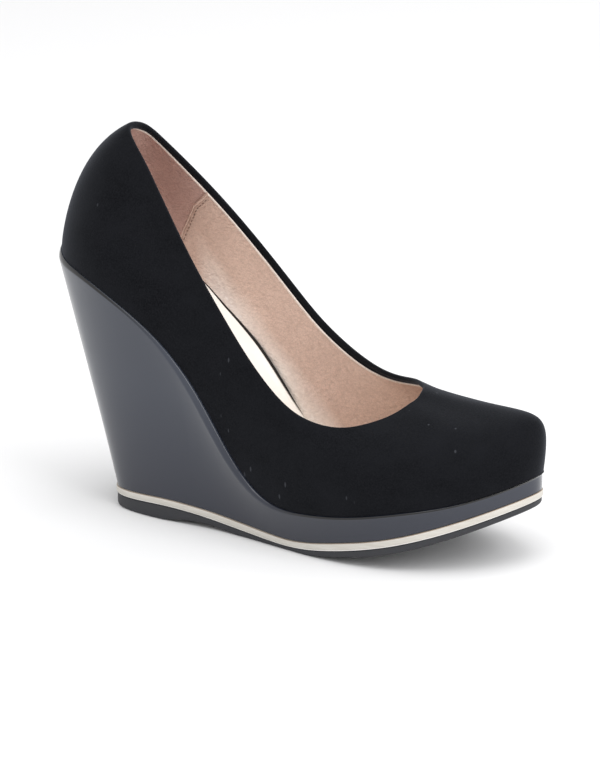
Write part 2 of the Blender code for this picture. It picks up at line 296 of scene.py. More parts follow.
def spline(knots, values, closed):
    """Cubic spline through values at knots: its ends are free, or joined to each other where closed."""
    knots = np.asarray(knots, float)
    values = np.asarray(values, float)
    steps = np.diff(knots)
    count = len(values)
    system = np.eye(count)
    bends = np.zeros_like(values)
    for i in range(count) if closed else range(1, count - 1):
        before, after = steps[i - 1], steps[i]
        left, right = (i - 1) % count, (i + 1) % count
        system[i, i] = 2.0 * (before + after)
        system[i, left] += before
        system[i, right] += after
        rise_after = (values[right] - values[i]) / after
        rise_before = (values[i] - values[left]) / before
        bends[i] = 6.0 * (rise_after - rise_before)
    bends = np.linalg.solve(system, bends)

    def at(where):
        where = np.asarray(where, float)
        where = np.mod(where, knots[-1]) if closed else np.clip(where, knots[0], knots[-1])
        low = np.clip(np.searchsorted(knots, where, side="right") - 1, 0, len(steps) - 1)
        high = (low + 1) % count
        step = steps[low]
        ahead = (where - knots[low]) / step
        if values.ndim > 1:
            step, ahead = step[..., None], ahead[..., None]
        behind = 1.0 - ahead
        curve = (behind ** 3 - behind) * bends[low] + (ahead ** 3 - ahead) * bends[high]
        return behind * values[low] + ahead * values[high] + step ** 2 / 6.0 * curve

    return at


def height_curve(table, name):
    """Height along the shoe, read from one column of a table."""
    rows = columns(table)
    return spline(rows["x"], rows[name], closed=False)


def straight_curve(table, name):
    """Value along the shoe, read in straight steps from one column of a table."""
    rows = columns(table)

    def at(x):
        return np.interp(x, rows["x"], rows[name])

    return at


bed = height_curve(FEATHER, "height")
outsole_top = height_curve(LAYERS, "outsole_top")
stripe_top = height_curve(LAYERS, "stripe_top")
underside_curve = height_curve(UNDERSIDE, "height")
rim_proud = height_curve(RIM, "proud")
rim_bevel = height_curve(RIM, "bevel")
sock_room = straight_curve(SOCK_EDGE, "room")
sock_climb = straight_curve(SOCK_EDGE, "climb")
sock_gap = straight_curve(SOCK_EDGE, "gap")


def underside(x):
    """Underside of the outsole, cut flat on the floor."""
    return np.maximum(underside_curve(x), 0.0)


def bed_stretch(x):
    """Height over the bed for each unit of distance square to its slope."""
    slope = (bed(x + PROBE) - bed(x - PROBE)) / (2.0 * PROBE)
    return np.sqrt(1.0 + slope ** 2)


def bed_at(x, clearance):
    """Height at a distance clearance over the bed, measured square to its slope."""
    return bed(x) + clearance * bed_stretch(x)


def side_knots():
    """Distance along the feather line at each of its rows, the mean of both sides."""
    rows = columns(FEATHER)
    lateral = np.stack([rows["x"], -rows["lateral"], rows["height"]], axis=1)
    medial = np.stack([rows["x"], rows["medial"], rows["height"]], axis=1)
    steps = [np.linalg.norm(np.diff(side, axis=0), axis=1) for side in (lateral, medial)]
    return np.concatenate([[0.0], np.cumsum(np.mean(steps, axis=0))])


SIDE = side_knots()
HALF = SIDE[-1]
ROUND = 2.0 * HALF
KNOTS = np.concatenate([SIDE, ROUND - SIDE[-2::-1]])


def loop(lateral, medial):
    """Closed curve through the lateral rows from heel to toe, and back through the medial rows."""
    lateral = np.stack(lateral, axis=1)
    medial = np.stack(medial, axis=1)
    return spline(KNOTS, np.vstack([lateral, medial[-2:0:-1]]), closed=True)


def outline_of(table):
    """Closed plan outline of a table with lateral and medial half widths."""
    rows = columns(table)
    return loop((rows["x"], -rows["lateral"]), (rows["x"], rows["medial"]))


def topline_loop():
    """Closed curve along the edge of the opening."""
    rows = columns(TOPLINE)
    lateral = (rows["lateral_x"], -rows["lateral"], rows["lateral_height"])
    return loop(lateral, (rows["medial_x"], rows["medial"], rows["medial_height"]))


def cover_loop():
    """Closed curve of the upper's wall, belly, drop, reach and slant."""
    rows = columns(COVER)
    shared = (rows["belly"], rows["reach"], rows["slant"])
    lateral = (rows["lateral_wall"], rows["lateral_drop"]) + shared
    return loop(lateral, (rows["medial_wall"], rows["medial_drop"]) + shared)


feather_plan = outline_of(FEATHER)
base_plan = outline_of(BASE)
topline = topline_loop()
cover = cover_loop()


def unit(vectors):
    """Vectors at length one."""
    return vectors / np.maximum(np.linalg.norm(vectors, axis=-1), 1e-12)[..., None]


def feather(t):
    """Lower edge of the upper's outer face."""
    plan = feather_plan(t)
    return np.concatenate([plan, bed(plan[..., 0])[..., None]], axis=-1)


def outward(curve, t):
    """Level unit vector that points out of a closed curve."""
    along = unit((curve(t + PROBE) - curve(t - PROBE))[..., :2])
    return np.stack([along[..., 1], -along[..., 0], np.zeros(along.shape[:-1])], axis=-1)


def stations(count):
    """Places around the shoe, count along each side, closer together at heel and toe."""
    share = np.linspace(0.0, 1.0, count + 1)
    share = (1.0 - CROWDING) * share + CROWDING * (0.5 - 0.5 * np.cos(np.pi * share))
    return np.concatenate([share * HALF, ROUND - share[-2:0:-1] * HALF])


def upper_rib(t):
    """The four control points of the upper's outer face at places t."""
    foot, edge = feather(t), topline(t)
    wall, drop, belly, reach, slant = np.moveaxis(cover(t), -1, 0)[..., None]
    lean = np.zeros_like(foot)
    lean[..., 0] = (edge - foot)[..., 0]
    low = foot + UP * wall + outward(feather_plan, t) * belly + lean * slant
    high = edge - UP * drop + outward(topline, t) * reach - lean * slant
    return foot, low, high, edge


def upper_face(t, s):
    """Points of the upper's outer face at places t around the shoe and shares s of its height."""
    foot, low, high, edge = upper_rib(t)
    s = s[..., None]
    return (1 - s) ** 3 * foot + 3 * s * (1 - s) ** 2 * low + 3 * s ** 2 * (1 - s) * high + s ** 3 * edge


def upper_frame(t, s):
    """Points of the upper's outer face, with its outward unit normals and the unit way up along it."""
    step = 0.002
    low, high = np.clip(s - step, 0, 1), np.clip(s + step, 0, 1)
    climb = unit(upper_face(t, high) - upper_face(t, low))
    along = unit(upper_face(t + 4 * PROBE, s) - upper_face(t - 4 * PROBE, s))
    return upper_face(t, s), unit(np.cross(along, climb)), climb


def share_below(t, distance):
    """Share of the upper's height that lies a distance below its edge."""
    _, _, high, edge = upper_rib(t)
    return 1.0 - distance / (3.0 * np.linalg.norm(edge - high, axis=-1))


def grid_faces(rows, count, closed, flip=False):
    """Faces of a grid of points, outward where rows go up and points run lateral to medial."""
    faces = []
    for k in range(rows - 1):
        for i in range(count if closed else count - 1):
            j = (i + 1) % count
            face = (k * count + i, k * count + j, (k + 1) * count + j, (k + 1) * count + i)
            faces.append(face[::-1] if flip else face)
    return faces


class Shape:
    """Points and faces of one piece, gathered from grids, each face with a material number."""

    def __init__(self):
        self.points, self.faces, self.numbers = [], [], []

    def grid(self, grid, closed, flip=False, number=0, row_numbers=None):
        """Add a grid of points, with one material number, or one for each row."""
        start = sum(len(part) for part in self.points)
        rows, count = grid.shape[:2]
        added = grid_faces(rows, count, closed, flip)
        self.points.append(grid.reshape(-1, 3))
        self.faces += [tuple(start + corner for corner in face) for face in added]
        for k in range(rows - 1):
            here = number if row_numbers is None else row_numbers[k]
            self.numbers += [here] * (count if closed else count - 1)

    def made(self, name, materials, sharp=None):
        """The piece as an object in the frame, riding on the shoe's body; sharp is an angle in degrees."""
        points = np.vstack(self.points) - ORIGIN
        mesh = bpy.data.meshes.new(name)
        mesh.from_pydata(points.tolist(), [], self.faces)
        mesh.polygons.foreach_set("material_index", self.numbers)
        for material in materials:
            mesh.materials.append(material)
        work = bmesh.new()
        work.from_mesh(mesh)
        bmesh.ops.remove_doubles(work, verts=work.verts, dist=MERGE)
        bmesh.ops.dissolve_degenerate(work, edges=work.edges, dist=SHORTEST_EDGE)
        work.to_mesh(mesh)
        work.free()
        mesh.shade_smooth()
        if sharp:
            mesh.set_sharp_from_angle(angle=np.radians(sharp))
        piece = bpy.data.objects.new(name, mesh)
        bpy.context.scene.collection.objects.link(piece)
        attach(piece, "root")
        return piece


def fan(ring, height, rows):
    """Rows of points from a ring in to a line along the middle of the shoe, at a height curve."""
    count = len(ring)
    mirror = (-np.arange(count)) % count
    middle = (ring[:, :2] + ring[mirror][:, :2]) / 2.0
    low, high = ring[:, 0].min() + FAN_MARGIN, ring[:, 0].max() - FAN_MARGIN
    clipped = np.clip(middle[:, 0], low, high)
    order = np.argsort(middle[:, 0])
    middle = np.stack([clipped, np.interp(clipped, middle[order, 0], middle[order, 1])], axis=1)
    share = np.linspace(0.0, 1.0, rows + 1)[:, None, None]
    plan = (1 - share) * ring[None, :, :2] + share * middle[None]
    grid = np.concatenate([plan, height(plan[..., 0])[..., None]], axis=-1)
    grid[0] = ring
    return grid


# Materials


def finish(name, **values):
    """New material with its shader's own values set."""
    made = bpy.data.materials.new(name)
    made.use_nodes = True
    shader = made.node_tree.nodes["Principled BSDF"]
    for key, value in values.items():
        socket = shader.inputs[key.replace("_", " ")]
        socket.default_value = (*value, 1.0) if isinstance(value, tuple) else value
    return made, shader


def node(made, kind, settings=None, **inputs):
    """Node of a kind; an input is a value or another node's output socket."""
    added = made.node_tree.nodes.new(kind)
    for key, value in (settings or {}).items():
        setattr(added, key, value)
    for key, value in inputs.items():
        socket = added.inputs[int(key[1:]) if key[0] == "_" else key.replace("_", " ")]
        if isinstance(value, bpy.types.NodeSocket):
            made.node_tree.links.new(value, socket)
        else:
            socket.default_value = value
    return added


def place(made, stretch=(1.0, 1.0, 1.0), turn=(0.0, 0.0, 0.0)):
    """Coordinates fixed to the shoe, stretched and turned."""
    where = node(made, "ShaderNodeTexCoord").outputs["Object"]
    return node(made, "ShaderNodeMapping", Vector=where, Scale=stretch, Rotation=turn).outputs[0]


def noise(made, where, scale, detail=2.0, rough=0.5):
    """Soft noise from 0 to 1."""
    added = node(made, "ShaderNodeTexNoise", Vector=where, Scale=scale, Detail=detail, Roughness=rough)
    return added.outputs["Fac"]


def axes(made, where):
    """The place's X, Y and Z as sockets."""
    return node(made, "ShaderNodeSeparateXYZ", Vector=where).outputs


def product(made, first, second):
    """Two sockets multiplied."""
    return node(made, "ShaderNodeMath", {"operation": "MULTIPLY"}, _0=first, _1=second).outputs[0]


def weighted(made, value, weight, rest):
    """A socket times a number, plus another socket."""
    added = node(made, "ShaderNodeMath", {"operation": "MULTIPLY_ADD"}, _0=value, _1=weight, _2=rest)
    return added.outputs[0]


def share_of_way(made, value, start, end):
    """Share of the way that a value has gone from start to end, in metres."""
    return node(made, "ShaderNodeMapRange", Value=value, From_Min=start, From_Max=end).outputs[0]


def ramp(made, value, low, high, start=(0, 0, 0), end=(1, 1, 1)):
    """Straight ramp between two colours as a value goes from low to high."""
    added = node(made, "ShaderNodeValToRGB", Fac=value)
    stops = added.color_ramp.elements
    stops[0].position, stops[1].position = low, high
    stops[0].color, stops[1].color = (*start, 1.0), (*end, 1.0)
    return added.outputs["Color"]


def mix(made, share, first, second, blend="MIX"):
    """Colour between two colours or sockets, or the first blended with the second."""
    added = node(made, "ShaderNodeMix", {"data_type": "RGBA", "blend_type": blend})
    for socket, value in ((added.inputs[0], share), (added.inputs[6], first), (added.inputs[7], second)):
        if isinstance(value, bpy.types.NodeSocket):
            made.node_tree.links.new(value, socket)
        else:
            socket.default_value = (*value, 1.0) if isinstance(value, tuple) else value
    return added.outputs[2]


def bump(made, shader, *layers):
    """Stack of bumps, each a height, a strength and a depth in metres, on the shader's normal."""
    normal = None
    for height, strength, depth in layers:
        added = node(made, "ShaderNodeBump", Height=height, Strength=strength, Distance=depth)
        if normal is not None:
            made.node_tree.links.new(normal, added.inputs["Normal"])
        normal = added.outputs[0]
    made.node_tree.links.new(normal, shader.inputs["Normal"])


def feed(made, shader, key, socket):
    """Link a socket to one of the shader's inputs."""
    made.node_tree.links.new(socket, shader.inputs[key])


def feed_roughness(made, shader, value, low, high):
    """Roughness that wavers from low to high with a noise."""
    feed(made, shader, "Roughness", ramp(made, value, 0.3, 0.7, (low,) * 3, (high,) * 3))


def suede_material():
    """Black suede: short nap brushed in soft patches, a slight sheen, and a few specks of lint."""
    made, shader = finish("suede", Roughness=0.95, Sheen_Weight=0.145, Sheen_Roughness=0.40)
    shader.inputs["Specular IOR Level"].default_value = 0.08
    shader.inputs["Sheen Tint"].default_value = (0.75, 0.80, 0.92, 1.0)
    where = place(made)
    patches = noise(made, place(made, stretch=(1.0, 1.0, 1.6)), 42.0, 3.0, 0.6)
    nap = noise(made, where, 1500.0, 2.0, 0.6)
    colour = ramp(made, patches, 0.32, 0.72, (0.0026, 0.0029, 0.0040), (0.0072, 0.0077, 0.0098))
    colour = mix(made, ramp(made, nap, 0.35, 0.75), colour, (0.0090, 0.0095, 0.0115))
    # Lint lies in the middle of a few of the cells
    cells = node(made, "ShaderNodeTexVoronoi", Vector=place(made, stretch=(1.0, 1.0, 0.4)), Scale=260.0)
    speck = ramp(made, cells.outputs["Distance"], 0.09, 0.15, (1, 1, 1), (0, 0, 0))
    chosen = node(made, "ShaderNodeSeparateColor", Color=cells.outputs["Color"]).outputs[0]
    lint = product(made, speck, ramp(made, chosen, 0.88, 0.89))
    feed(made, shader, "Base Color", mix(made, lint, colour, (0.036, 0.038, 0.044)))
    pile = noise(made, where, 5200.0, 1.0, 0.5)
    bump(made, shader, (nap, 0.35, 0.00025), (pile, 0.25, 0.00012))
    return made


# Where the rim's cover gets a painted dark reflection, along the shoe in the frame: from full dark
# to none, at heel and toe
DARK_ENDS = ((-0.078, -0.048), (0.024, 0.004))


def patent_material(name, gloss, dark_ends=False):
    """Black patent leather with a clear lacquer, very slightly wavy, painted darker towards the floor as
    shade; a rim gets a painted dark reflection towards heel and toe.
    """
    made, shader = finish(name, Coat_Weight=gloss, Coat_Roughness=0.08)
    shader.inputs["Specular IOR Level"].default_value = 0.25
    where = place(made)
    x, _, z = axes(made, where)
    # Painted shade: the colour darkens towards the floor, standing in for the shaded floor mirrored in the
    # lacquer
    colour = ramp(made, z, 0.0, 0.06, (0.007, 0.009, 0.020), (0.032, 0.038, 0.055))
    if dark_ends:
        # Painted dark reflection on the rim towards heel and toe
        for dark, clear in DARK_ENDS:
            colour = mix(made, share_of_way(made, x, dark, clear), (0.003, 0.003, 0.004), colour)
    feed(made, shader, "Base Color", colour)
    feed_roughness(made, shader, noise(made, where, 90.0, 2.0), 0.30, 0.36)
    wave = noise(made, where, 40.0, 0.0)
    grain = noise(made, where, 900.0, 2.0)
    bump(made, shader, (wave, 0.05, 0.0005), (grain, 0.04, 0.0001))
    return made


def lining_material(name, light, dark, metallic, roughness, painted_bed_highlight=None):
    """Rose gold leather with fine crackle, soft clouding and shallow wrinkles, and a painted highlight along
    the bed.
    """
    made, shader = finish(name, Metallic=metallic)
    where = place(made)
    cloud = noise(made, where, 55.0, 4.0, 0.6)
    crackle = node(made, "ShaderNodeTexVoronoi", {"feature": "DISTANCE_TO_EDGE"}, Vector=where, Scale=950.0)
    lines = ramp(made, crackle.outputs["Distance"], 0.0, 0.14)
    colour = ramp(made, cloud, 0.3, 0.7, dark, light)
    wear_and_highlight = tuple(0.90 * value for value in dark)
    colour = mix(made, lines, wear_and_highlight, colour)
    if painted_bed_highlight:
        # The painted highlight follows the bed, which rises to the heel, and stops short of the counter seam
        x, _, z = axes(made, where)
        over = weighted(made, noise(made, where, 45.0, 1.0), 0.012, weighted(made, x, 1.15, z))
        low = ramp(made, over, 0.031, 0.050, (1, 1, 1), (0, 0, 0))
        ahead = share_of_way(made, x, -0.066, -0.050)
        colour = mix(made, product(made, low, ahead), colour, painted_bed_highlight)
    feed_roughness(made, shader, noise(made, where, 260.0, 3.0), roughness - 0.06, roughness + 0.08)
    wrinkle = noise(made, place(made, stretch=(0.65, 1.0, 1.0), turn=(0.0, 0.75, 0.0)), 850.0)
    # Painted shade: the wrinkles' low parts are darkened in the colour as well as in the bump
    shade = ramp(made, wrinkle, 0.36, 0.60, (0.80, 0.78, 0.77), (1.0, 1.0, 1.0))
    feed(made, shader, "Base Color", mix(made, 0.5, colour, shade, blend="MULTIPLY"))
    bump(made, shader, (wrinkle, 0.55, 0.0009), (lines, 0.08, 0.00010))
    return made


def sock_material():
    """Cream satin leather of the sock, turning darker and pinker towards the front."""
    made, shader = finish("sock", Coat_Weight=0.25, Coat_Roughness=0.25)
    where = place(made)
    colour = ramp(made, noise(made, where, 70.0), 0.3, 0.7, (0.87, 0.845, 0.79), (0.91, 0.89, 0.84))
    ahead = share_of_way(made, axes(made, where)["X"], -0.024, 0.010)
    feed(made, shader, "Base Color", mix(made, ahead, colour, (0.78, 0.67, 0.57)))
    pores = noise(made, where, 1300.0)
    feed_roughness(made, shader, pores, 0.34, 0.46)
    bump(made, shader, (pores, 0.15, 0.00012))
    return made


def band_material(name, light, dark, roughness):
    """Cast plastic or rubber with faint streaks along the shoe."""
    made, shader = finish(name)
    streak = noise(made, place(made, stretch=(0.25, 0.25, 3.0)), 240.0, 3.0)
    feed(made, shader, "Base Color", ramp(made, streak, 0.3, 0.7, dark, light))
    fine = noise(made, place(made), 1800.0)
    feed_roughness(made, shader, fine, roughness - 0.05, roughness + 0.06)
    bump(made, shader, (fine, 0.12, 0.0001))
    return made


def tread_material():
    """Black rubber with a fine cast grain."""
    made, shader = finish("rubber")
    fine = noise(made, place(made), 1100.0, 3.0)
    feed(made, shader, "Base Color", ramp(made, fine, 0.3, 0.7, (0.020, 0.021, 0.025), (0.029, 0.030, 0.035)))
    feed_roughness(made, shader, fine, 0.52, 0.66)
    bump(made, shader, (fine, 0.25, 0.00015))
    return made


# Pieces


def make_upper(suede):
    """Suede upper: its outer face, rolled over the topline and turned down inside."""
    t = stations(SIDE_POINTS)
    radius = ROLL + HEEL_ROLL * np.exp(-(np.minimum(t, ROUND - t) / HEEL_ROLL_REACH) ** 2)
    top = share_below(t, radius)
    share = 0.5 - 0.5 * np.cos(np.pi * np.linspace(0.0, 1.0, UPPER_ROWS + 1) ** 0.9)
    s = share[:, None] * top[None, :]
    outer, normal, _ = upper_frame(np.broadcast_to(t, s.shape), s)
    hem = outer[:1] - normal[:1] * SUEDE
    edge, side, climb = upper_frame(t, top)
    depths, widths = np.array(FOLD_ROWS).T[:, :, None]
    deep = share_below(t, radius + depths)
    radius = radius[:, None]
    centre = edge - side * radius
    turns = np.linspace(0.0, np.pi, 11)[1:]
    roll = np.stack([centre + radius * (np.cos(a) * side + np.sin(a) * climb) for a in turns])
    inner, side, _ = upper_frame(np.broadcast_to(t, deep.shape), deep)
    fold = inner - side * 2.0 * (ROLL + widths[:, :, None] * (radius - ROLL))
    shape = Shape()
    shape.grid(np.concatenate([hem, outer, roll, fold]), closed=True)
    return shape.made("upper_suede", [suede])


# Creases of the lining on the medial side: both ends as x and height over the bed, width and depth
CREASES = (
    (96, 18, 112, 13, 3.0, 0.35),
    (86, 16, 104, 9, 2.2, 0.30),
    (78, 26, 92, 20, 3.5, 0.30),
    (104, 24, 122, 18, 3.0, 0.25),
    (60, 14, 76, 9, 3.0, 0.25),
)


def lining_lift(points):
    """How far the lining stands in from the wall: a filled corner at the bed, and soft creases."""
    x, y, over = points[..., 0], points[..., 1], points[..., 2] - bed(points[..., 0])
    along_corner = np.exp(-((x - CORNER_PLACE) / CORNER_REACH) ** 2)
    corner = CORNER_DEPTH * along_corner * np.exp(-(over / CORNER_HEIGHT) ** 2)
    lift = np.where(y > 0, corner, 0.0)
    for x0, h0, x1, h1, width, depth in CREASES:
        start = np.array([x0, h0]) * MM
        along = np.array([x1, h1]) * MM - start
        here = np.stack([x, over], axis=-1) - start
        share = np.clip((here @ along) / (along @ along), 0.0, 1.0)
        away = np.linalg.norm(here - share[..., None] * along, axis=-1) / (width * MM)
        taper = np.sin(np.pi * np.clip(share, 0.02, 0.98))
        lift += np.where(y > 0, 1.0, 0.7) * depth * MM * taper * np.exp(-away ** 2)
    return lift


def seam_at(s):
    """Distance of the counter seam from the heel at a share of the upper's height."""
    return SEAM_FOOT + SEAM_LEAN * s + SEAM_KICK * np.clip((s - SEAM_KICK_FROM) / 0.2, 0.0, 1.2)


def lining_face(t, s, proud=0.0):
    """Points of the lining's face at places t and shares s, a little proud of it, and outward normals."""
    outer, normal, _ = upper_frame(t, s)
    return outer - normal * (WALL + lining_lift(outer) + proud)[..., None], normal


def make_lining(name, material, t, share, proud=0.0):
    """One piece of lining over places t, from the bed to under the suede's fold."""
    s = share * share_below(t, FOLD)
    face, _ = lining_face(t, s, proud)
    lip, _ = lining_face(t[-1:], s[-1:], -LINING_EDGE)
    shape = Shape()
    shape.grid(np.concatenate([face, lip]), closed=False, flip=True)
    return shape.made(name, [material], sharp=50)


def make_linings(counter, quarter):
    """Counter lining round the heel, and quarter lining that laps it at the seam and runs round the toe."""
    share = np.linspace(0.0, 1.0, LINING_ROWS + 1)[:, None]
    start = seam_at(share)
    around = np.linspace(-1.0, 1.0, COUNTER_POINTS + 1)[None, :]
    make_lining("counter_lining", counter, around * (start + SEAM_LAP * 0.5), share)
    around = np.linspace(0.0, 1.0, QUARTER_POINTS + 1)[None, :]
    t = start + around * (ROUND - 2.0 * start)
    from_seam = np.minimum(t - start, ROUND - start - t)
    proud = SEAM_LIP * np.clip(from_seam / SEAM_LIP_ROUND, 0.0, 1.0) ** 0.5 - SEAM_LIP_SINK
    make_lining("quarter_lining", quarter, t, share, proud)


def tube(path, radius, sides, flat, normal):
    """Grid round a path, flattened towards the normal; its ends are left open."""
    along = unit(np.gradient(path, axis=0))
    side = unit(np.cross(normal, along))
    turns = np.linspace(0.0, 2.0 * np.pi, sides, endpoint=False)
    radius = np.asarray(radius)[:, None]
    rings = [path + radius * (np.cos(a) * side + flat * np.sin(a) * normal) for a in turns]
    return np.stack(rings, axis=1)


def add_stitches(shape, path, normal):
    """Stitches along a path, each a short arched thread."""
    length = np.concatenate([[0.0], np.cumsum(np.linalg.norm(np.diff(path, axis=0), axis=1))])
    half = STITCH_LENGTH / 2.0
    arch = np.sin(np.linspace(0, np.pi, 7))
    radius = STITCH_RADIUS * np.maximum(arch, 0.12) ** 0.5
    for k in range(1, int(length[-1] / STITCH_PITCH)):
        inside = np.linspace(k * STITCH_PITCH - half, k * STITCH_PITCH + half, 7)
        stitch = np.stack([np.interp(inside, length, path[:, i]) for i in range(3)], axis=1)
        facing = np.stack([np.interp(inside, length, normal[:, i]) for i in range(3)], axis=1)
        stitch = stitch - facing * (STITCH_RISE * arch)[:, None]
        shape.grid(tube(stitch, radius, 8, 0.9, facing), closed=True, number=1)


def make_seam(hem_colour_and_highlight, thread, leather):
    """Folded edges: along the counter seam on both sides, with its stitches, and under the suede's hem."""
    shape = Shape()
    t = np.append(stations(SIDE_POINTS), ROUND)
    # The hem is paler than the lining: partly its own turned edge, partly a painted highlight along it
    path, normal = lining_face(t, share_below(t, FOLD + LINING_EDGE), HEM_PROUD)
    shape.grid(tube(path, np.full(len(t), HEM_RADIUS), 8, 0.5, normal), closed=True)
    s = np.linspace(0.02, 1.0, 60)
    u = seam_at(s)
    radius = SEAM_RADIUS + SEAM_SWELL * np.clip((s - SEAM_KICK_FROM) / 0.1, 0.0, 1.0)
    radius[[0, -1]] = SEAM_TIP
    for medial in (False, True):
        t = ROUND - u if medial else u
        limit = share_below(t, FOLD - LINING_EDGE)
        path, normal = lining_face(t, s * limit, SEAM_PROUD)
        shape.grid(tube(path, radius, 10, 0.55, normal), closed=True, number=2)
        t = ROUND - u - STITCH_AHEAD if medial else u + STITCH_AHEAD
        path, normal = lining_face(t, s * limit, STITCH_PROUD)
        add_stitches(shape, path, normal)
    return shape.made("counter_seam", [hem_colour_and_highlight, thread, leather])


def make_sock(sock, dark):
    """Sock: a softly crowned pad whose medial edge climbs the arch of the wall, beside painted gap shade."""
    t = stations(SIDE_POINTS)
    plan = feather_plan(t)
    x = plan[:, 0]
    medial = t > HALF
    inset = WALL + np.where(medial, sock_room(x), INSOLE_ROOM)
    out = outward(feather_plan, t)[:, :2]
    climb = np.where(medial, sock_climb(x), 0.0)
    held = climb * SOCK_CLIMB_SHARE
    low = INSOLE_THICKNESS - SOCK_ROUND

    def ring(extra, clearance):
        where = plan - out * (inset + extra)[:, None]
        return np.column_stack([where, bed_at(where[:, 0], clearance)])

    zero = np.zeros(len(t))
    rings = [ring(zero, zero + SOCK_LIFT), ring(zero, low + held)]
    for a in np.linspace(0.0, np.pi / 2, 5)[1:]:
        rings.append(ring(SOCK_ROUND * (1 - np.cos(a)) + zero, low + SOCK_ROUND * np.sin(a) + held))
    grid = fan(rings[-1], lambda along: bed_at(along, INSOLE_THICKNESS), SOCK_ROWS)
    share = np.linspace(0.0, 1.0, SOCK_ROWS + 1)[:, None]
    crown = SOCK_CROWN * (1 - (1 - share) ** 4) + held[None, :] * (1 - share) ** 9
    grid[1:, :, 2] += (crown * bed_stretch(x)[None, :])[1:]
    shape = Shape()
    shape.grid(np.stack(rings), closed=True)
    shape.grid(grid, closed=True)
    shape.grid(fan(rings[0], lambda along: bed_at(along, SOCK_LIFT), 2)[::-1], closed=True)
    # The dark tube along the medial edge: painted shade in the gap beside the sock
    gap = sock_gap(x)
    open_here = medial & (gap > 0.0)
    path = ring(-0.5 * gap, INSOLE_THICKNESS + climb)[open_here]
    radius = 0.5 * gap[open_here]
    radius[[0, -1]] = GAP_TIP
    facing = np.broadcast_to(unit(np.array([0.3, -0.5, 0.8])), path.shape)
    shape.grid(tube(path, radius, 8, 0.7, facing), closed=True, number=1)
    return shape.made("sock", [sock, dark], sharp=60)


def base_ring(t, inset, height, lift=0.0):
    """Ring of points inset from the base outline, at a height curve plus a lift."""
    plan = base_plan(t) - outward(base_plan, t)[:, :2] * inset
    return np.column_stack([plan, height(plan[:, 0]) + lift])


def feather_ring(t, inset, clearance):
    """Ring of points inset from the feather line, at a clearance over the bed."""
    plan = feather_plan(t) - outward(feather_plan, t)[:, :2] * inset
    return np.column_stack([plan, bed_at(plan[:, 0], clearance)])


def curve_rows(start, bend, end, rows):
    """Rings along a curve that leaves one ring and reaches another, pulled towards a third."""
    shares = np.linspace(0.0, 1.0, rows + 1)[1:]
    return [(1 - s) ** 2 * start + 2 * s * (1 - s) * bend + s ** 2 * end for s in shares]


def make_wedge(patent, rim_painted_dark, wear_and_highlight):
    """Covered wedge with a gently hollow side, a rounded bevelled rim and a turned lower edge."""
    t = stations(SIDE_POINTS)

    def floor(x):
        return stripe_top(x) + GAP

    foot = base_ring(t, WEDGE_INSET, floor)
    along = feather_plan(t)[:, 0]
    proud, bevel = rim_proud(along), rim_bevel(along)
    rim = feather_ring(t, -proud[:, None], -bevel)
    shoulder_out = RIM_SHELF + SHOULDER_OUT * (proud - RIM_SHELF)
    shoulder = feather_ring(t, -shoulder_out[:, None], -SHOULDER_DOWN * bevel)
    shelf = feather_ring(t, -RIM_SHELF, -GAP)
    out = outward(feather_plan, t)
    tall = np.linalg.norm(rim - foot, axis=1)[:, None]
    hollow = WEDGE_HOLLOW * np.minimum(1.0, tall / WEDGE_HOLLOW_HEIGHT)
    hollow = hollow * (out[:, 1:2] ** 2 - WEDGE_SWELL * out[:, 0:1] ** 2)

    def side(s):
        return foot * (1 - s) + rim * s - out * hollow * 4 * s * (1 - s)

    turn = np.minimum(RIM_TURN, 0.35 * np.linalg.norm(shoulder - rim, axis=1))[:, None]
    start, end = rim + unit(side(0.97) - rim) * turn, rim + unit(shoulder - rim) * turn
    last = 1.0 - turn / tall
    tuck = np.minimum(FOOT_TUCK, tall / 8)
    rings = [foot - out * tuck, foot - out * 0.3 * tuck + UP * 0.05 * tuck]
    rings += [side(share * last) for share in np.linspace(0.0, 1.0, WEDGE_ROWS)]
    rings += curve_rows(start, rim, end, RIM_ROWS)
    rings += curve_rows(end, shoulder, shelf, SHOULDER_ROWS)
    # The cover's finish up to the rim's turn, a painted highlight line on the turn, and the rim's finish over
    # it
    numbers = [0] * (WEDGE_ROWS + 3) + [2] * (RIM_ROWS - 3) + [1] * (SHOULDER_ROWS + 1)
    shape = Shape()
    shape.grid(np.stack(rings), closed=True, row_numbers=numbers)
    shape.grid(fan(rings[-1], lambda x: bed_at(x, -GAP), 4), closed=True)
    shape.grid(fan(rings[0], floor, 4)[::-1], closed=True)
    return shape.made("wedge_cover", [patent, rim_painted_dark, wear_and_highlight], sharp=60)


# Rows up the stripe band as shares of its height: the light foot line, the cream, the brown top line
STRIPE_SHARES = (0.0, 0.06, 0.12, 0.135, 0.25, 0.4, 0.55, 0.7, 0.8, 0.91, 0.925, 0.97, 1.0)
STRIPE_NUMBERS = [2] * 3 + [0] * 7 + [1] * 2


def make_stripe(cream, line, light):
    """Cream stripe with a fine brown line along its top and a light one along its foot."""
    t = stations(SIDE_POINTS)

    def floor(x):
        return outsole_top(x) + GAP

    foot = base_ring(t, STRIPE_PROUD, floor)
    top = base_ring(t, STRIPE_PROUD, stripe_top)
    out = outward(base_plan, t)
    rings = []
    for s in STRIPE_SHARES:
        rings.append(foot * (1 - s) + top * s + out * 2.0 * STRIPE_PROUD * (1 - (2 * s - 1) ** 4))
    shape = Shape()
    shape.grid(np.stack(rings), closed=True, row_numbers=STRIPE_NUMBERS)
    shape.grid(fan(rings[-1], stripe_top, 2), closed=True)
    shape.grid(fan(rings[0], floor, 2)[::-1], closed=True)
    return shape.made("stripe_band", [cream, line, light], sharp=40)


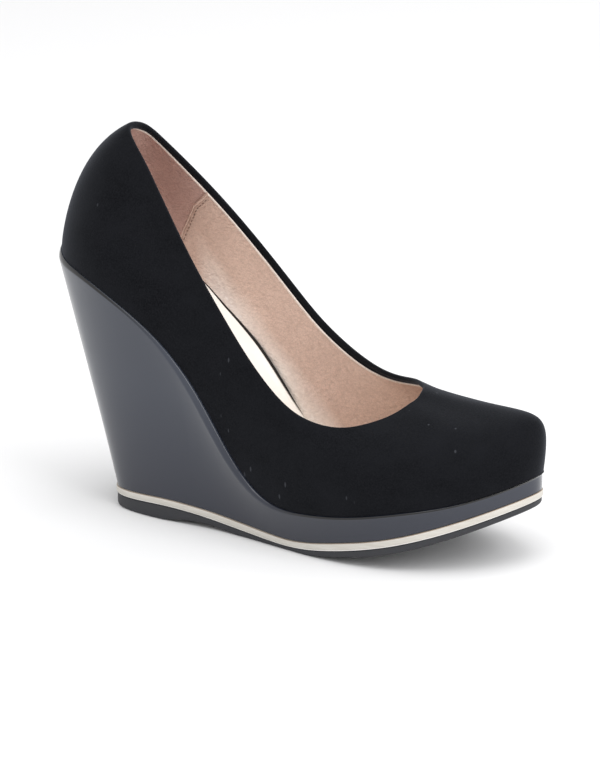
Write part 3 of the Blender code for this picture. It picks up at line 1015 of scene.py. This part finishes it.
def make_outsole(rubber):
    """Rubber outsole with a rounded lower edge, and a groove and cross ribs underneath."""
    t = stations(SIDE_POINTS)
    rings = []
    for a in np.linspace(0.0, np.pi / 2, 6):
        inset = OUTSOLE_INSET + OUTSOLE_ROUND * (1 - np.sin(a))
        rings.append(base_ring(t, inset, underside, OUTSOLE_ROUND * (1 - np.cos(a))))
    low = base_ring(t, OUTSOLE_INSET, underside, OUTSOLE_ROUND)
    high = base_ring(t, OUTSOLE_INSET, outsole_top)
    rings += [low * (1 - share) + high * share for share in (0.35, 0.7, 0.94)]
    rings.append(base_ring(t, OUTSOLE_INSET + OUTSOLE_TUCK, outsole_top))
    below = fan(rings[0], underside, TREAD_ROWS)
    x = below[..., 0]
    away = np.linalg.norm((below - rings[0][None])[..., :2], axis=-1)
    groove = GROOVE_DEPTH * np.exp(-((away - GROOVE_PLACE) / GROOVE_HALF) ** 4)
    ribs = np.where(away > RIBS_FROM_EDGE, 0.5 - 0.5 * np.cos(2 * np.pi * x / RIB_PITCH), 0.0)
    zone = np.clip((x - ARCH_END) / RIBS_FADE, 0, 1) + np.clip((ARCH_START - x) / RIBS_FADE, 0, 1)
    below[..., 2] += groove + RIB_DEPTH * np.clip(ribs * 1.6 - 0.3, 0, 1) * np.clip(zone, 0, 1)
    shape = Shape()
    shape.grid(np.stack(rings), closed=True)
    shape.grid(below[::-1], closed=True)
    shape.grid(fan(rings[-1], outsole_top, 2), closed=True)
    return shape.made("outsole_rubber", [rubber], sharp=60)


# Stage, light and camera

CAMERA_AZIMUTH = 29.0
CAMERA_ELEVATION = 17.5
CAMERA_DISTANCE = 2.0
# The point of the pattern that the camera looks at, in metres, moved to the frame
CAMERA_TARGET = np.array([0.1144, 0.0, 0.0645]) - ORIGIN
# The lens: its focal length in pixels of the frame, the frame's height in pixels, the sensor in mm
FOCAL_PIXELS = 4680.0
FRAME_HEIGHT = 760.0
SENSOR = 36.0
CAMERA_LENS = FOCAL_PIXELS / FRAME_HEIGHT * SENSOR
FLOOR_HALF = 6.0
WORLD_STRENGTH = 0.86

# Soft lights: azimuth, elevation and distance from the shoe, side of the square, and power in watts
LIGHTS = (
    ("overhead", 38.0, 76.0, 1.7, 1.3, 14.0),
    ("side", 78.0, 33.0, 1.8, 1.2, 12.5),
    ("back", 150.0, 45.0, 1.6, 1.0, 3.5),
)


def direction(azimuth, elevation):
    """Unit vector from the shoe to a place at an azimuth and elevation in degrees."""
    a, e = np.radians(azimuth), np.radians(elevation)
    return Vector((np.sin(a) * np.cos(e), -np.cos(a) * np.cos(e), np.sin(e)))


def aim(name, data, azimuth, elevation, distance):
    """Camera or light at a direction and distance from the shoe, looking at it."""
    placed = bpy.data.objects.new(name, data)
    back = direction(azimuth, elevation)
    placed.location = Vector(CAMERA_TARGET) + back * distance
    placed.rotation_euler = back.to_track_quat("Z", "Y").to_euler()
    bpy.context.scene.collection.objects.link(placed)
    return placed


def add_camera():
    data = bpy.data.cameras.new("camera")
    data.lens = CAMERA_LENS
    data.sensor_width = SENSOR
    camera = aim("camera", data, CAMERA_AZIMUTH, CAMERA_ELEVATION, CAMERA_DISTANCE)
    bpy.context.scene.camera = camera


def add_lights():
    for name, azimuth, elevation, distance, size, power in LIGHTS:
        data = bpy.data.lights.new(name, "AREA")
        data.shape = "SQUARE"
        data.size = size
        data.energy = power
        aim(name, data, azimuth, elevation, distance)
    world = bpy.data.worlds.new("studio")
    world.use_nodes = True
    background = world.node_tree.nodes["Background"].inputs
    background["Color"].default_value = (1.0, 1.0, 1.0, 1.0)
    background["Strength"].default_value = WORLD_STRENGTH
    bpy.context.scene.world = world


def add_floor():
    made, shader = finish("floor_paper", Base_Color=(0.82, 0.82, 0.825), Roughness=0.75)
    shader.inputs["Specular IOR Level"].default_value = 0.2
    mesh = bpy.data.meshes.new("floor")
    corners = [(x * FLOOR_HALF, y * FLOOR_HALF, 0) for x, y in ((-1, -1), (1, -1), (1, 1), (-1, 1))]
    mesh.from_pydata(corners, [], [(0, 1, 2, 3)])
    mesh.materials.append(made)
    floor = bpy.data.objects.new("floor", mesh)
    bpy.context.scene.collection.objects.link(floor)


def main():
    suede, rubber = suede_material(), tread_material()
    patent = patent_material("patent", 0.75)
    # The rim's patent, with a painted dark reflection towards heel and toe
    rim = patent_material("patent_rim", 0.75, dark_ends=True)
    # Patent for the line on the rim's turn, kept lighter as a painted highlight
    wear_and_highlight = patent_material("patent_edge_highlight", 1.0)
    counter = lining_material("counter_leather", (0.60, 0.40, 0.35), (0.52, 0.335, 0.29), 0.15, 0.50)
    # The last colour is a painted highlight along the bed of the quarter lining
    rose, deep_rose, painted_bed_highlight = (0.73, 0.545, 0.465), (0.65, 0.48, 0.405), (1.0, 0.96, 0.91)
    quarter = lining_material("quarter_leather", rose, deep_rose, 0.45, 0.38, painted_bed_highlight)
    # Paler leather for the hem: partly its own colour, partly a painted highlight on the turned edge
    edge = lining_material("edge_leather", (0.90, 0.80, 0.73), (0.80, 0.68, 0.60), 0.0, 0.5)
    cream = band_material("cream", (0.61, 0.585, 0.535), (0.54, 0.51, 0.455), 0.42)
    line = band_material("brown_line", (0.28, 0.20, 0.14), (0.22, 0.15, 0.10), 0.5)
    light = band_material("light_line", (0.86, 0.84, 0.82), (0.78, 0.76, 0.73), 0.42)
    thread = band_material("thread", (0.28, 0.19, 0.14), (0.20, 0.13, 0.10), 0.7)
    # Near-black for the tube that paints the shade in the gap beside the sock
    dark = band_material("gap", (0.012, 0.009, 0.008), (0.008, 0.006, 0.005), 0.9)
    upper = make_upper(suede)
    make_linings(counter, quarter)
    make_seam(edge, thread, quarter)
    sock = make_sock(sock_material(), dark)
    wedge = make_wedge(patent, rim, wear_and_highlight)
    stripe = make_stripe(cream, line, light)
    outsole = make_outsole(rubber)
    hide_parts("upper")
    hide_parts("insole")
    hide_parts("wedge")
    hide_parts("stripe")
    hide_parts("outsole")
    add_floor()
    add_lights()
    add_camera()
    bpy.context.scene.view_settings.view_transform = "Standard"


main()
